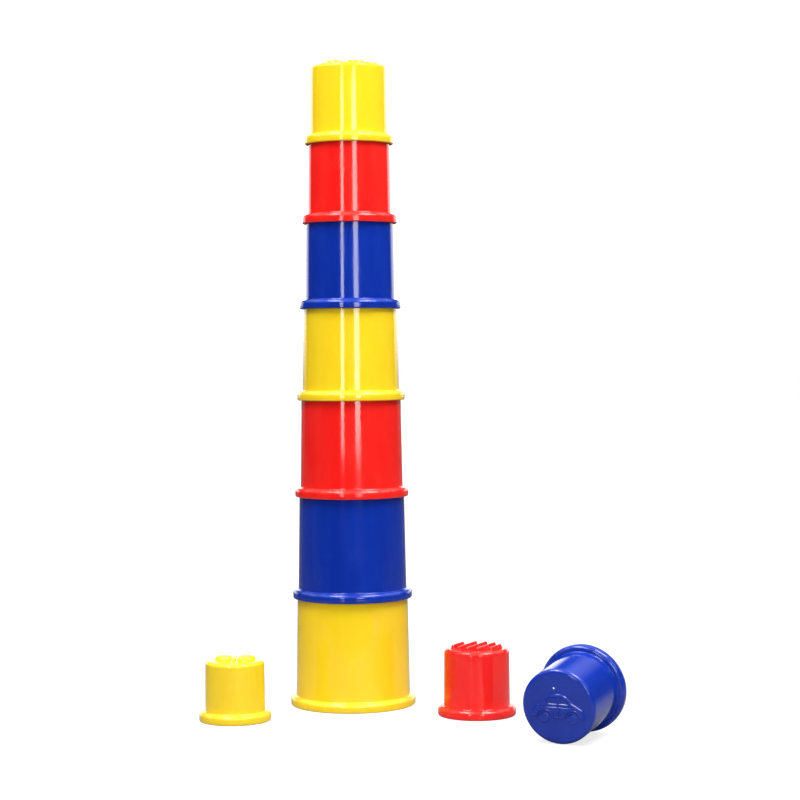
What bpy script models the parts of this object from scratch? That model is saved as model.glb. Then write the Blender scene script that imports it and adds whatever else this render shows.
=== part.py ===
"""A set of ten stacking cups: seven built into a tower, two standing beside it and one lying down.

Every cup is one thin moulded shell, used upside down. Its closed end is on top, with a rounded shoulder,
a raised picture and a small vent hole. Its mouth is below, where the wall steps out into a skirt. The step
rests on the closed end of the next larger cup, and the skirt hangs down around that cup's shoulder.
All sizes are in metres, with +Z up and the mouth of the base cup at z = 0.
"""

import math
from typing import NamedTuple

import bmesh
import bpy
from mathutils import Matrix, Vector

# How many cups there are, and how many of the larger ones stand in the tower.
CUP_COUNT = 10
TOWER_COUNT = 7

# Cup n counts from 0, the largest. Height and closed-end radius shrink by a step that grows with n.
LARGEST_HEIGHT = 0.0862
HEIGHT_STEP = 0.00383
HEIGHT_STEP_GROWTH = 0.0000926
LARGEST_TOP_RADIUS = 0.0424
TOP_RADIUS_STEP = 0.002095
TOP_RADIUS_STEP_GROWTH = 0.0000225

# The body widens towards its mouth by this much of its length, less on the smaller cups.
LARGEST_DRAFT = 0.018
DRAFT_STEP = 0.001

# Wall of the body, of the closed end, of the skirt and of the step above it.
BODY_WALL = 0.0018
END_WALL = 0.0018
SKIRT_WALL = 0.0018
STEP_WALL = 0.0026

# The skirt's depth inside, and the radial play between it and the closed end that it covers.
SKIRT_DEPTH = 0.0044
SMALLEST_PLAY = 0.0005
PLAY_STEP = 0.00013

# Rounds and edge breaks.
SHOULDER_RADIUS = 0.003
INNER_SHOULDER_RADIUS = 0.0012
RIM_FILLET = 0.001
RIM_CROWN = 0.0032
MOUTH_ROUND = 0.001
MOUTH_EDGE = 0.0004
ROUNDS_SHARE = 0.96

# Clearance between faces that rest on each other.
SEAT_GAP = 0.0003

# The raised picture: its height, less on the finely detailed car, its depth below the surface, and the plain
# border around it.
PICTURE_HEIGHT = 0.0028
CAR_HEIGHT = 0.0014
PICTURE_ROOT = 0.0008
PICTURE_BORDER = 0.003
VENT_RADIUS = 0.0008

# The loose cups: clear distance from the base cup's rim, and bearing from the tower's axis.
SMALLEST_CLEARANCE = 0.0346
SMALLEST_BEARING = math.radians(218.1)
SECOND_CLEARANCE = 0.0301
SECOND_BEARING = math.radians(330.8)
LYING_CLEARANCE = 0.128
LYING_BEARING = math.radians(323.8)
LYING_HEADING = math.radians(245.2)
LYING_ROLL = math.radians(0.0)

# Facets around a cup, on each large round, on each small one, and around the vent hole.
CUP_FACETS = 36
ROUND_FACETS = 3
RIM_FACETS = 2
VENT_FACETS = 8

YELLOW = (0.98, 0.72, 0.02, 1.0)
BLUE = (0.01, 0.035, 0.36, 1.0)
RED = (0.95, 0.03, 0.025, 1.0)
PLASTIC_ROUGHNESS = 0.25

Point = tuple[float, float]
Outline = list[Point]


class Cup(NamedTuple):
    """The sizes of one cup. Radii are the outer ones unless they say otherwise."""

    height: float
    top_radius: float
    draft: float
    skirt_inner_radius: float
    rim_radius: float

    def body_radius(self, z: float) -> float:
        """The outer radius of the tapered body at height z above the mouth."""
        return self.top_radius + self.draft * (self.height - SHOULDER_RADIUS - z)

    def flat_radius(self) -> float:
        """The radius of the flat part of the closed end."""
        return self.top_radius - SHOULDER_RADIUS

    def picture_radius(self) -> float:
        """The radius of the circle that the raised picture fills."""
        return self.flat_radius() - PICTURE_BORDER


def top_radius(n: int) -> float:
    """The closed end's radius on cup n."""
    return LARGEST_TOP_RADIUS - TOP_RADIUS_STEP * n - TOP_RADIUS_STEP_GROWTH * n * n


def cup_sizes(n: int) -> Cup:
    """The sizes of cup n. Its skirt is made to go over the closed end of cup n - 1."""
    play = SMALLEST_PLAY + PLAY_STEP * (CUP_COUNT - 1 - n)
    skirt = top_radius(n - 1) + play
    return Cup(
        height=LARGEST_HEIGHT - HEIGHT_STEP * n - HEIGHT_STEP_GROWTH * n * n,
        top_radius=top_radius(n),
        draft=LARGEST_DRAFT - DRAFT_STEP * n,
        skirt_inner_radius=skirt,
        rim_radius=skirt + SKIRT_WALL,
    )


CUPS = [cup_sizes(n) for n in range(CUP_COUNT)]


def arc(centre: Point, radius: float, start: float, end: float, facets: int) -> Outline:
    """Points on an arc from start to end, both in degrees and both included."""
    turn = (math.radians(start + (end - start) * i / facets) for i in range(facets + 1))
    return [(centre[0] + radius * math.cos(a), centre[1] + radius * math.sin(a)) for a in turn]


def rim_rounds(cup: Cup) -> tuple[float, float]:
    """The radii of the fillet above the rim and of the rim's crown, both smaller if the rim is narrow."""
    width = cup.rim_radius - cup.body_radius(SKIRT_DEPTH + STEP_WALL)
    share = min(1.0, ROUNDS_SHARE * width / (RIM_FILLET + RIM_CROWN))
    return share * RIM_FILLET, share * RIM_CROWN


def cup_profile(cup: Cup) -> Outline:
    """Half the cup's section, from the top centre down the outside and back up the inside."""
    step_top = SKIRT_DEPTH + STEP_WALL
    fillet, crown = rim_rounds(cup)
    foot = cup.body_radius(step_top + fillet)
    inner_foot = cup.body_radius(SKIRT_DEPTH) - BODY_WALL
    inner_end = cup.height - END_WALL
    inner_side = cup.body_radius(inner_end) - BODY_WALL
    inner_round = INNER_SHOULDER_RADIUS
    flat = cup.flat_radius()
    outline = [(0.0, cup.height)]
    outline += arc((flat, cup.height - SHOULDER_RADIUS), SHOULDER_RADIUS, 90, 0, ROUND_FACETS)
    outline += arc((foot + fillet, step_top + fillet), fillet, 180, 270, RIM_FACETS)
    outline += arc((cup.rim_radius - crown, step_top - crown), crown, 90, 0, ROUND_FACETS)
    outline += arc((cup.rim_radius - MOUTH_ROUND, MOUTH_ROUND), MOUTH_ROUND, 0, -90, RIM_FACETS)
    outline += [(cup.skirt_inner_radius + MOUTH_EDGE, 0.0), (cup.skirt_inner_radius, MOUTH_EDGE)]
    outline += [(cup.skirt_inner_radius, SKIRT_DEPTH), (inner_foot, SKIRT_DEPTH)]
    outline += arc((inner_side - inner_round, inner_end - inner_round), inner_round, 0, 90, 1)
    outline.append((0.0, inner_end))
    return outline


def seat_drop(below: Cup, above: Cup) -> float:
    """How far the step sinks onto the shoulder's round, where its inner edge lies beyond the flat."""
    edge = above.body_radius(SKIRT_DEPTH) - BODY_WALL
    beyond = max(0.0, edge - below.flat_radius())
    return SHOULDER_RADIUS - math.sqrt(SHOULDER_RADIUS**2 - min(beyond, SHOULDER_RADIUS) ** 2)


def tower_heights() -> list[float]:
    """The mouth height of each cup in the tower."""
    heights = [0.0]
    for below, above in zip(CUPS[: TOWER_COUNT - 1], CUPS[1:TOWER_COUNT]):
        pitch = below.height + SEAT_GAP - seat_drop(below, above) - SKIRT_DEPTH
        heights.append(heights[-1] + pitch)
    return heights


# The pictures. Each is a list of outlines inside a circle of radius 1, and the spot for the vent hole.
# The outlines of one picture never cross, and one inside another is a hole in it.


def bearings(count: int) -> list[float]:
    """Evenly spaced angles around one turn."""
    return [2 * math.pi * i / count for i in range(count)]


def oval(centre: Point, half_width: float, half_height: float, points: int) -> Outline:
    """A closed outline of an ellipse."""
    return [
        (centre[0] + half_width * math.cos(a), centre[1] + half_height * math.sin(a))
        for a in bearings(points)
    ]


def bar(start: Point, end: Point, width: float) -> Outline:
    """A bar with round ends, whose end circles are centred on start and end."""
    along = math.degrees(math.atan2(end[1] - start[1], end[0] - start[0]))
    far_end = arc(end, width / 2, along - 90, along + 90, 4)
    return far_end + arc(start, width / 2, along + 90, along + 270, 4)


def sun() -> tuple[list[Outline], Point]:
    """A disc with eight rays."""
    rays = []
    for a in bearings(8):
        along = Vector((math.cos(a), math.sin(a)))
        rays.append(bar(tuple(0.68 * along), tuple(0.92 * along), 0.12))
    return [oval((0, 0), 0.5, 0.5, 20)] + rays, (0.7, 0.29)


def fish() -> tuple[list[Outline], Point]:
    """A lens-shaped body with a forked tail."""
    body = arc((0.15, -0.45), 0.9, 35, 145, 8) + arc((0.15, 0.45), 0.9, 215, 325, 8)
    tail = [(-0.66, 0.0), (-0.92, 0.34), (-0.84, 0.0), (-0.92, -0.34)]
    return [body, tail], (0.1, 0.72)


def house() -> tuple[list[Outline], Point]:
    """Four walls under a roof."""
    walls = [(-0.55, -0.7), (0.55, -0.7), (0.55, 0.05), (-0.55, 0.05)]
    roof = [(-0.75, 0.15), (0.75, 0.15), (0.0, 0.8)]
    return [walls, roof], (0.68, 0.52)


def star() -> tuple[list[Outline], Point]:
    """A star with five points."""
    points = []
    for i, a in enumerate(bearings(10)):
        radius = 0.95 if i % 2 == 0 else 0.45
        points.append((-radius * math.sin(a), radius * math.cos(a)))
    return [points], (0.45, 0.62)


def boat() -> tuple[list[Outline], Point]:
    """A hull under two sails."""
    hull = [(-0.8, -0.25), (-0.5, -0.65), (0.5, -0.65), (0.8, -0.25)]
    large_sail = [(-0.06, -0.12), (-0.06, 0.85), (-0.62, -0.12)]
    small_sail = [(0.06, -0.12), (0.5, -0.12), (0.06, 0.6)]
    return [hull, large_sail, small_sail], (0.55, 0.5)


def heart() -> tuple[list[Outline], Point]:
    """Two round lobes that run down to a point."""
    lobes = arc((0.4, 0.3), 0.42, -35, 150, 7) + arc((-0.4, 0.3), 0.42, 30, 215, 7)
    return [lobes + [(0.0, -0.85)]], (0.0, 0.75)


def flower() -> tuple[list[Outline], Point]:
    """Six round petals about a middle, one petal a little right of the front."""
    front = math.radians(-68)
    petals = []
    for a in bearings(6):
        petals.append(oval((0.68 * math.cos(a + front), 0.68 * math.sin(a + front)), 0.3, 0.3, 12))
    gap = front + math.pi / 6
    return petals + [oval((0, 0), 0.28, 0.28, 12)], (0.9 * math.cos(gap), 0.9 * math.sin(gap))


def car() -> tuple[list[Outline], Point]:
    """A plain rounded car seen from the side, with two wheels in their arches."""
    arch, wheel = 0.24, 0.17
    body = arc((0.02, -0.05), 0.5, 25, 150, 6) + arc((-0.52, -0.34), 0.42, 110, 180, 3)
    body += arc((-0.5, -0.36), arch, 180, 0, 5) + arc((0.5, -0.36), arch, 180, 0, 5)
    body += [(0.95, -0.36), (0.86, -0.06)]
    wheels = [oval((x, -0.38), wheel, wheel, 12) for x in (-0.5, 0.5)]
    return [body] + wheels, (-0.14, 0.64)


def bars() -> tuple[list[Outline], Point]:
    """Five parallel bars across the circle."""
    lean, pitch, width = math.radians(64), 0.42, 0.17
    along = Vector((math.cos(lean), math.sin(lean)))
    across = Vector((along.y, -along.x))
    made = []
    for offset in (-2 * pitch, -pitch, 0.0, pitch, 2 * pitch):
        half = along * (math.sqrt(1 - offset**2) - width / 2)
        made.append(bar(tuple(across * offset - half), tuple(across * offset + half), width))
    return made, tuple(across * 1.5 * pitch)


def butterfly() -> tuple[list[Outline], Point]:
    """Two upper wings and two lower wings beside a slim body."""
    wings = []
    for side in (-1, 1):
        wings.append(oval((side * 0.54, 0.3), 0.4, 0.34, 12))
        wings.append(oval((side * 0.44, -0.42), 0.3, 0.28, 12))
    return wings + [bar((0, -0.6), (0, 0.5), 0.12)], (0.0, 0.8)


PICTURES = [sun, fish, house, star, boat, heart, flower, car, bars, butterfly]
PICTURE_HEIGHTS = [CAR_HEIGHT if picture is car else PICTURE_HEIGHT for picture in PICTURES]


# Building in Blender.


def clear_scene() -> None:
    """Removes every object that the scene starts with."""
    for obj in list(bpy.data.objects):
        bpy.data.objects.remove(obj)


def new_collection(name: str) -> bpy.types.Collection:
    """A collection linked to the scene."""
    made = bpy.data.collections.new(name)
    bpy.context.scene.collection.children.link(made)
    return made


def plastic(name: str, colour: tuple[float, ...]) -> bpy.types.Material:
    """A glossy moulded plastic."""
    made = bpy.data.materials.new(name)
    made.use_nodes = True
    made.diffuse_color = colour
    shader = made.node_tree.nodes["Principled BSDF"]
    shader.inputs["Base Color"].default_value = colour
    shader.inputs["Roughness"].default_value = PLASTIC_ROUGHNESS
    shader.inputs["Metallic"].default_value = 0.0
    return made


def turned_shell(name: str, cup: Cup, collection: bpy.types.Collection) -> bpy.types.Object:
    """The cup's section as an edge chain, turned into a closed shell by a Screw modifier."""
    outline = cup_profile(cup)
    mesh = bpy.data.meshes.new(name)
    points = [(x, 0.0, z) for x, z in outline]
    mesh.from_pydata(points, [(i, i + 1) for i in range(len(points) - 1)], [])
    obj = bpy.data.objects.new(name, mesh)
    collection.objects.link(obj)
    turn = obj.modifiers.new("turn", "SCREW")
    turn.axis = "Z"
    turn.steps = CUP_FACETS
    turn.render_steps = CUP_FACETS
    turn.use_merge_vertices = True
    turn.merge_threshold = 0.00001
    turn.use_smooth_shade = True
    return obj


def make_helper(obj: bpy.types.Object, parent: bpy.types.Object) -> None:
    """Keeps a Boolean's other shape out of renders, and carries it with its cup."""
    obj.parent = parent
    obj.hide_render = True
    obj.display_type = "WIRE"


def raised_picture(
    name: str, outlines: list[Outline], radius: float, height: float, collection: bpy.types.Collection
) -> bpy.types.Object:
    """A flat slab in the picture's shape, from filled 2D curves given a thickness."""
    curve = bpy.data.curves.new(name, "CURVE")
    curve.dimensions = "2D"
    curve.fill_mode = "BOTH"
    curve.extrude = (height + PICTURE_ROOT) / 2
    for outline in outlines:
        spline = curve.splines.new("POLY")
        spline.points.add(len(outline) - 1)
        spline.use_cyclic_u = True
        for point, (x, y) in zip(spline.points, outline):
            point.co = (x * radius, y * radius, 0.0, 1.0)
    flat = bpy.data.objects.new(name + "_curve", curve)
    collection.objects.link(flat)
    bpy.context.view_layer.update()
    graph = bpy.context.evaluated_depsgraph_get()
    mesh = bpy.data.meshes.new_from_object(flat.evaluated_get(graph))
    work = bmesh.new()
    work.from_mesh(mesh)
    bmesh.ops.remove_doubles(work, verts=work.verts, dist=0.00001)
    bmesh.ops.recalc_face_normals(work, faces=work.faces)
    work.to_mesh(mesh)
    work.free()
    slab = bpy.data.objects.new(name, mesh)
    slab.matrix_world = flat.matrix_world
    collection.objects.link(slab)
    bpy.data.objects.remove(flat)
    return slab


def vent_cutter(name: str, collection: bpy.types.Collection) -> bpy.types.Object:
    """A slim cylinder, longer than the closed end is thick."""
    mesh = bpy.data.meshes.new(name)
    work = bmesh.new()
    length = 4 * END_WALL
    bmesh.ops.create_cone(
        work, cap_ends=True, segments=VENT_FACETS, radius1=VENT_RADIUS, radius2=VENT_RADIUS, depth=length
    )
    work.to_mesh(mesh)
    work.free()
    obj = bpy.data.objects.new(name, mesh)
    collection.objects.link(obj)
    return obj


def add_boolean(obj: bpy.types.Object, other: bpy.types.Object, operation: str) -> None:
    """Joins another shape to the object or cuts it away."""
    made = obj.modifiers.new(other.name, "BOOLEAN")
    made.operation = operation
    made.solver = "EXACT"
    made.object = other


def make_cup(n: int, parts: bpy.types.Collection, helpers: bpy.types.Collection) -> bpy.types.Object:
    """Cup n, with its mouth's centre at its own origin."""
    name = f"cup_{n + 1}"
    cup = CUPS[n]
    shell = turned_shell(name, cup, parts)
    outlines, vent = PICTURES[n]()
    relief = PICTURE_HEIGHTS[n]
    picture = raised_picture(name + "_picture", outlines, cup.picture_radius(), relief, helpers)
    picture.location.z = cup.height + (relief - PICTURE_ROOT) / 2
    cutter = vent_cutter(name + "_vent", helpers)
    reach = cup.picture_radius()
    cutter.location = (vent[0] * reach, vent[1] * reach, cup.height - END_WALL / 2)
    for helper, operation in ((picture, "UNION"), (cutter, "DIFFERENCE")):
        make_helper(helper, shell)
        add_boolean(shell, helper, operation)
    return shell


def lying_tilt(cup: Cup) -> float:
    """The dip of a lying cup's axis, when it touches the table with its rim's crown and its shoulder."""
    crown = rim_rounds(cup)[1]
    apart = cup.height - SHOULDER_RADIUS - (SKIRT_DEPTH + STEP_WALL - crown)
    drop = (cup.rim_radius - crown) - cup.flat_radius()
    lean = math.acos((SHOULDER_RADIUS - crown) / math.hypot(apart, drop))
    return lean - math.atan2(apart, drop)


def lying_matrix(cup: Cup) -> Matrix:
    """Turns the upright cup so that its closed end points along the heading and dips to the table."""
    dip = lying_tilt(cup)
    crown = rim_rounds(cup)[1]
    centre_radius = cup.rim_radius - crown
    along_axis = SKIRT_DEPTH + STEP_WALL - crown
    lift = crown + centre_radius * math.cos(dip) + along_axis * math.sin(dip)
    turn = Matrix.Rotation(LYING_HEADING, 4, "Z") @ Matrix.Rotation(math.pi / 2 + dip, 4, "Y")
    return Matrix.Translation((0.0, 0.0, lift)) @ turn @ Matrix.Rotation(math.pi / 2 + LYING_ROLL, 4, "Z")


def beside_tower(cup: Cup, clearance: float, bearing: float) -> Vector:
    """A spot on the table at a clear distance from the base cup's rim."""
    distance = CUPS[0].rim_radius + clearance + cup.rim_radius
    return Vector((distance * math.cos(bearing), distance * math.sin(bearing), 0.0))


def centre_on_footprint(anchor: bpy.types.Object, objects: list[bpy.types.Object]) -> None:
    """Moves the whole set so that the middle of its bounding box is over the origin."""
    bpy.context.view_layer.update()
    graph = bpy.context.evaluated_depsgraph_get()
    low = Vector((math.inf, math.inf, 0.0))
    high = -low
    for obj in objects:
        evaluated = obj.evaluated_get(graph)
        mesh = evaluated.to_mesh()
        for vertex in mesh.vertices:
            place = obj.matrix_world @ vertex.co
            for i in (0, 1):
                low[i] = min(low[i], place[i])
                high[i] = max(high[i], place[i])
        evaluated.to_mesh_clear()
    middle = (low + high) / 2
    anchor.location = (-middle.x, -middle.y, 0.0)


def main() -> None:
    """Builds the ten cups, sets them in place and centres the set."""
    clear_scene()
    parts = new_collection("stacking_cup_tower")
    helpers = new_collection("cutters")
    helpers.hide_render = True
    plastics = [plastic("yellow_plastic", YELLOW), plastic("blue_plastic", BLUE), plastic("red_plastic", RED)]
    anchor = bpy.data.objects.new("set_origin", None)
    parts.objects.link(anchor)
    cups = []
    for n in range(CUP_COUNT):
        cup = make_cup(n, parts, helpers)
        cup.data.materials.append(plastics[n % len(plastics)])
        cup.parent = anchor
        cups.append(cup)
    for cup, height in zip(cups, tower_heights()):
        cup.location.z = height
    lying, second, smallest = CUP_COUNT - 3, CUP_COUNT - 2, CUP_COUNT - 1
    cups[smallest].location = beside_tower(CUPS[smallest], SMALLEST_CLEARANCE, SMALLEST_BEARING)
    cups[second].location = beside_tower(CUPS[second], SECOND_CLEARANCE, SECOND_BEARING)
    spot = beside_tower(CUPS[lying], LYING_CLEARANCE, LYING_BEARING)
    cups[lying].matrix_local = Matrix.Translation(spot) @ lying_matrix(CUPS[lying])
    centre_on_footprint(anchor, cups)


main()
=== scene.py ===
"""The finished look of a set of ten stacking cups: glossy moulded plastic on a pale studio floor.

Seven cups stand upside down in a tower, two stand beside it and one lies on its side. Each cup is one closed
surface of revolution worked out with numpy, whose closed end carries a raised picture and a vent hole. The
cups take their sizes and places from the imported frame, and each one rides on its own body.
"""

import logging
import math
from dataclasses import dataclass, field
from enum import Enum

import bpy
import numpy as np
from mathutils import Matrix, Vector


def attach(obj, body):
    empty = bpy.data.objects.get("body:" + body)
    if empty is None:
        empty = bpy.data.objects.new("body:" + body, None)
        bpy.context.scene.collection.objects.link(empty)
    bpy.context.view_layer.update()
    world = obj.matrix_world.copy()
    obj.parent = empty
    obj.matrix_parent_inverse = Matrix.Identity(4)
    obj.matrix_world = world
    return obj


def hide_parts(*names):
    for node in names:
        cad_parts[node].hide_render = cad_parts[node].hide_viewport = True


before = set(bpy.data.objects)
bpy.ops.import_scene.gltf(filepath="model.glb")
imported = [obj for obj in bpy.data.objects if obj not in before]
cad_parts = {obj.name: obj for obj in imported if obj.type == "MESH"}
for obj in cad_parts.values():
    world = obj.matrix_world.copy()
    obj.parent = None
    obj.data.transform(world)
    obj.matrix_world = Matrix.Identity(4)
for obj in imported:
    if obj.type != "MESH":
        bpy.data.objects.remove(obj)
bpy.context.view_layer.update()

log = logging.getLogger("stacking_cups")

MM = 0.001

# Two heights on a CAD node are the same if they are this close.
SAME_PLACE = 0.2 * MM

# Points of a CAD node in the plane of its mouth.
MOUTH_POINTS = 72

# Half blocks from a vent's middle at which the grid is back in its own place.
VENT_FADE = 2.6

# How high the pictures stand, the directions of a petal and of the gap after it, and how the bars lean.
RELIEF = 2.8 * MM
CAR_RELIEF = 1.4 * MM
FIRST_PETAL = -68.0
BETWEEN_PETALS = math.radians(FIRST_PETAL + 30.0)
BAR_LEAN = math.radians(64.0)

Grid = np.ndarray
Socket = bpy.types.NodeSocket
Wires = dict[str | int, object]


def smooth_rise(value: Grid) -> Grid:
    """Goes from 0 to 1 as value goes from 0 to 1, level at both ends: 3 v^2 - 2 v^3."""
    held = np.clip(value, 0.0, 1.0)
    return held * held * (3.0 - 2.0 * held)


def arc(centre: tuple[float, float], radius: float, start: float, end: float, steps: int) -> Grid:
    """Points on a circle's arc, the centre plus radius times (cosine, sine) of an even run of angles.

    Args:
        centre: The arc's centre.
        radius: Its radius.
        start: First angle in degrees.
        end: Last angle in degrees, which may be below the first.
        steps: How many steps the arc has; it gives one point more.

    Returns:
        An array of points, one row each.
    """
    angle = np.radians(np.linspace(start, end, steps + 1))
    return np.stack([centre[0] + radius * np.cos(angle), centre[1] + radius * np.sin(angle)], axis=1)


def polar(radius: float, angle: float) -> tuple[float, float]:
    """A point at a distance and a direction from the origin."""
    return radius * math.cos(angle), radius * math.sin(angle)


def run(start: tuple[float, float], end: tuple[float, float], steps: int) -> Grid:
    """Points on a straight line without its ends, closer towards them; the share is (1 - cos) / 2."""
    share = 0.5 - 0.5 * np.cos(np.linspace(0.0, math.pi, steps + 1)[1:-1, None])
    return np.array(start) * (1.0 - share) + np.array(end) * share


@dataclass(frozen=True)
class Plane2D:
    """The closed end as a flat drawing: x and y grids in units of the picture's radius.

    Each method gives the signed distance to a shape's edge, below zero inside it.
    """

    x: Grid
    y: Grid

    def disc(self, cx: float, cy: float, radius: float) -> Grid:
        """Distance to a circle: the distance to its centre less its radius."""
        return np.hypot(self.x - cx, self.y - cy) - radius

    def oval(self, cx: float, cy: float, half_width: float, half_height: float) -> Grid:
        """Distance to an ellipse, near enough: the scaled radius less one, times the shorter half axis."""
        scaled = np.hypot((self.x - cx) / half_width, (self.y - cy) / half_height)
        return (scaled - 1.0) * min(half_width, half_height)

    def bar(self, start: tuple[float, float], end: tuple[float, float], width: float) -> Grid:
        """Distance to a round-ended bar: that to the segment between its end centres less half its width.

        Args:
            start: Centre of one round end.
            end: Centre of the other.
            width: The bar's full width.

        Returns:
            The signed distance.
        """
        a, b = np.array(start), np.array(end)
        along = b - a
        length = max(float(along @ along), 1e-12)
        share = np.clip(((self.x - a[0]) * along[0] + (self.y - a[1]) * along[1]) / length, 0.0, 1.0)
        return np.hypot(self.x - a[0] - share * along[0], self.y - a[1] - share * along[1]) - width / 2

    def polygon(self, corners: Grid) -> Grid:
        """Distance to a closed polygon: the least distance to an edge, turned negative inside.

        A point is inside where a level ray from it crosses the edges an odd number of times.

        Args:
            corners: The polygon's corners in order, one row each.

        Returns:
            The signed distance.
        """
        least = np.full(self.x.shape, np.inf)
        inside = np.zeros(self.x.shape, bool)
        for a, b in zip(corners, np.roll(corners, -1, axis=0)):
            least = np.minimum(least, self.bar(tuple(a), tuple(b), 0.0))
            spans = (a[1] > self.y) != (b[1] > self.y)
            rise = b[1] - a[1] if b[1] != a[1] else 1.0
            inside ^= spans & (self.x < a[0] + (self.y - a[1]) * (b[0] - a[0]) / rise)
        return np.where(inside, -least, least)


@dataclass(frozen=True)
class Carving:
    """Turns signed distances into raised shapes with sloping, rounded sides."""

    plane: Plane2D
    slope: float

    def raised(self, distance: Grid, height: float = 1.0) -> Grid:
        """A plateau of the given height inside the shape, with its slope centred on the edge."""
        return height * smooth_rise(0.5 - distance / self.slope)

    def domed(self, distance: Grid, reach: float, height: float = 1.0) -> Grid:
        """A cushion that rises from the edge until the given reach inside it, round like a quarter circle."""
        share = np.clip(-distance / reach, 0.0, 1.0)
        return 0.45 * self.raised(distance, height) + 0.55 * height * np.sqrt(share * (2.0 - share))

    def groove(self, distance: Grid, depth: float, width: float) -> Grid:
        """A furrow of the given depth and width where the distance is zero, to be taken from a shape."""
        return depth * smooth_rise(1.0 - np.abs(distance) / width)


def sun(cut: Carving) -> Grid:
    """A disc with eight rays and a ring cut into the disc.

    Args:
        cut: The closed end to carve.

    Returns:
        The height field, 1 at full height.
    """
    p = cut.plane
    height = cut.domed(p.disc(0, 0, 0.5), 0.3) - cut.groove(p.disc(0, 0, 0.34), 0.25, 0.05)
    for a in np.arange(8) * math.pi / 4:
        height = np.maximum(height, cut.domed(p.bar(polar(0.68, a), polar(0.92, a), 0.12), 0.06))
    return height


def fish(cut: Carving) -> Grid:
    """A lens-shaped body with an eye, a gill line and scales, and a forked tail.

    Args:
        cut: The closed end to carve.

    Returns:
        The height field, 1 at full height.
    """
    p = cut.plane
    outline = np.concatenate([arc((0.15, -0.45), 0.9, 35, 145, 24), arc((0.15, 0.45), 0.9, 215, 325, 24)])
    body = p.polygon(outline)
    height = cut.domed(body, 0.3)
    height -= cut.groove(p.disc(0.58, 0.08, 0.06), 0.3, 0.035)
    height -= np.where(p.x < 0.45, cut.groove(p.disc(-0.02, 0.0, 0.42), 0.25, 0.035), 0.0)
    for column in (-0.35, -0.15, 0.05):
        for row in (-0.2, 0.0, 0.2):
            scale = np.where(p.x > column, cut.groove(p.disc(column, row, 0.1), 0.2, 0.025), 0.0)
            height -= np.where(body < -0.06, scale, 0.0)
    tail = p.polygon(np.array([(-0.66, 0.0), (-0.92, 0.34), (-0.84, 0.0), (-0.92, -0.34)]))
    return np.maximum(height, cut.domed(tail, 0.1))


def house(cut: Carving) -> Grid:
    """Walls with a door and a window under a tiled roof.

    Args:
        cut: The closed end to carve.

    Returns:
        The height field, 1 at full height.
    """
    p = cut.plane
    walls = cut.raised(p.polygon(np.array([(-0.55, -0.7), (0.55, -0.7), (0.55, 0.05), (-0.55, 0.05)])))
    door = p.polygon(np.array([(-0.36, -0.66), (-0.1, -0.66), (-0.1, -0.2), (-0.36, -0.2)]))
    window = p.polygon(np.array([(0.1, -0.42), (0.4, -0.42), (0.4, -0.12), (0.1, -0.12)]))
    walls -= cut.raised(door, 0.5) + cut.raised(window, 0.5)
    cross = np.minimum(p.bar((0.25, -0.42), (0.25, -0.12), 0.035), p.bar((0.1, -0.27), (0.4, -0.27), 0.035))
    walls += cut.raised(cross, 0.35)
    roof_edge = p.polygon(np.array([(-0.75, 0.15), (0.75, 0.15), (0.0, 0.8)]))
    roof = cut.raised(roof_edge)
    for row in (0.3, 0.45, 0.6):
        roof -= np.where(roof_edge < -0.04, cut.groove(p.y - row, 0.3, 0.03), 0.0)
    return np.maximum(walls, roof)


def star(cut: Carving) -> Grid:
    """A five-pointed star that rises to its middle.

    Args:
        cut: The closed end to carve.

    Returns:
        The height field, 1 at full height.
    """
    turn = np.arange(10) * math.pi / 5
    radius = np.where(np.arange(10) % 2 == 0, 0.95, 0.45)
    edge = cut.plane.polygon(np.stack([-radius * np.sin(turn), radius * np.cos(turn)], axis=1))
    return cut.raised(edge, 0.5) + 0.5 * np.clip(-edge / 0.36, 0.0, 1.0)


def boat(cut: Carving) -> Grid:
    """A planked hull under two sails.

    Args:
        cut: The closed end to carve.

    Returns:
        The height field, 1 at full height.
    """
    p = cut.plane
    edge = p.polygon(np.array([(-0.8, -0.25), (-0.5, -0.65), (0.5, -0.65), (0.8, -0.25)]))
    hull = cut.raised(edge)
    for row in (-0.38, -0.51):
        hull -= np.where(edge < -0.04, cut.groove(p.y - row, 0.3, 0.03), 0.0)
    large = p.polygon(np.array([(-0.06, -0.12), (-0.06, 0.85), (-0.62, -0.12)]))
    small = p.polygon(np.array([(0.06, -0.12), (0.5, -0.12), (0.06, 0.6)]))
    return np.maximum(hull, np.maximum(cut.domed(large, 0.16), cut.domed(small, 0.14)))


def heart(cut: Carving) -> Grid:
    """A cushioned heart with a line inside its edge.

    Args:
        cut: The closed end to carve.

    Returns:
        The height field, 1 at full height.
    """
    lobes = [arc((0.4, 0.3), 0.42, -35, 150, 20), arc((-0.4, 0.3), 0.42, 30, 215, 20)]
    edge = cut.plane.polygon(np.concatenate(lobes + [np.array([(0.0, -0.85)])]))
    return cut.domed(edge, 0.3) - cut.groove(edge + 0.12, 0.2, 0.03)


def flower(cut: Carving) -> Grid:
    """Six round petals about a dotted middle, one petal a little right of the front.

    Args:
        cut: The closed end to carve.

    Returns:
        The height field, 1 at full height.
    """
    p = cut.plane
    height = cut.domed(p.disc(0, 0, 0.28), 0.2)
    for a in np.radians(FIRST_PETAL + 60.0 * np.arange(6)):
        petal = cut.domed(p.disc(*polar(0.68, a), 0.3), 0.08)
        vein = p.bar(polar(0.46, a), polar(0.72, a), 0.0)
        height = np.maximum(height, petal - cut.groove(vein, 0.2, 0.04))
        height -= cut.groove(p.disc(*polar(0.13, a), 0.0), 0.3, 0.04)
    return height


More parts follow.
